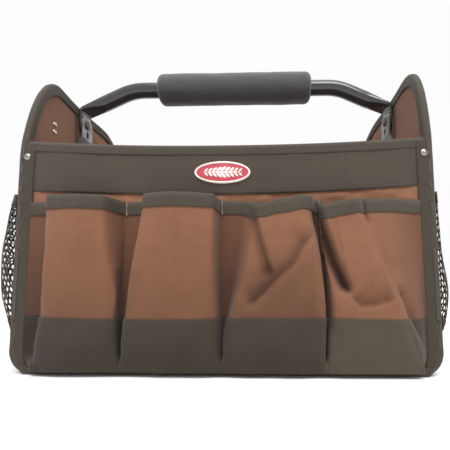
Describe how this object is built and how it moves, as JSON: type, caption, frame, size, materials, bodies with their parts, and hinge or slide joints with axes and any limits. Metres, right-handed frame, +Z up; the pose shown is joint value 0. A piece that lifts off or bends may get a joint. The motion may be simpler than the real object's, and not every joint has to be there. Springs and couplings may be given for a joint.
{
  "type": "garden tool bag",
  "caption": "Open-top fabric tool tote with arched stiff ends, a hinged black tube handle with a foam grip, bellows pockets on both long sides and a mesh pocket on each end.",
  "frame": {"origin": "centre of the footprint, on the ground", "axes": "+X along the bag from its left end to its right end, +Y from the badge side to the back, +Z up"},
  "size_m": [0.47, 0.304, 0.369],
  "materials": {
    "brown_canvas": "woven polyester canvas, warm brown",
    "brown_lining": "woven lining, warm brown",
    "olive_canvas": "heavy woven canvas, dark olive",
    "olive_webbing": "ribbed webbing, dark olive",
    "olive_tape": "binding tape, dark olive",
    "mesh": "open knitted mesh, dark olive",
    "stiffener_board": "matt black sheet",
    "pale_thread": "pale thread",
    "badge_red": "glossy red",
    "badge_pale": "glossy pale pink",
    "black_enamel": "glossy black enamel",
    "foam_grip": "matt closed-cell foam",
    "zinc_steel": "bright zinc plate",
    "nylon": "natural nylon",
    "nickel": "bright nickel plate"
  },
  "bodies": {
    "bag": {"base_panel": "brown_canvas", "base_board": "stiffener_board", "base_lining": "brown_lining", "base_binding": "olive_tape", "front_panel": "brown_canvas", "back_panel": "brown_canvas", "front_lining": "brown_lining", "back_lining": "brown_lining", "left_end_panel": "brown_canvas", "right_end_panel": "brown_canvas", "left_end_board": "stiffener_board", "right_end_board": "stiffener_board", "left_end_lining": "brown_lining", "right_end_lining": "brown_lining", "left_end_binding": "olive_tape", "right_end_binding": "olive_tape", "front_band": "olive_webbing", "back_band": "olive_webbing", "front_band_hem": "olive_tape", "back_band_hem": "olive_tape", "front_pocket_1": "brown_canvas", "front_pocket_2": "brown_canvas", "front_pocket_3": "brown_canvas", "front_pocket_4": "brown_canvas", "back_pocket_1": "brown_canvas", "back_pocket_2": "brown_canvas", "back_pocket_3": "brown_canvas", "back_pocket_4": "brown_canvas", "front_pocket_boots": "olive_canvas", "back_pocket_boots": "olive_canvas", "front_pocket_hems": "olive_tape", "back_pocket_hems": "olive_tape", "pocket_bar_tacks": "pale_thread", "left_mesh_pocket": "mesh", "right_mesh_pocket": "mesh", "left_mesh_hem": "olive_tape", "right_mesh_hem": "olive_tape", "badge_plate": "badge_red", "badge_rim": "badge_pale", "badge_emblem": "badge_pale", "left_handle_strap": "zinc_steel", "right_handle_strap": "zinc_steel", "left_backing_plate": "zinc_steel", "right_backing_plate": "zinc_steel", "pivot_bolts": "zinc_steel", "pivot_spacers": "nylon", "pivot_washers": "zinc_steel", "pivot_lock_nuts": "nickel", "strap_rivets": "nickel", "corner_rivets": "nickel", "end_studs": "nickel"},
    "handle": {"handle_tube": "black_enamel", "handle_grip": "foam_grip"}
  },
  "joints": [
    {"name": "handle_pivot", "type": "hinge", "parent": "bag", "child": "handle", "pos_m": [0, 0, 0.303], "axis": [1, 0, 0], "range_deg": [-85, 85]}
  ]
}
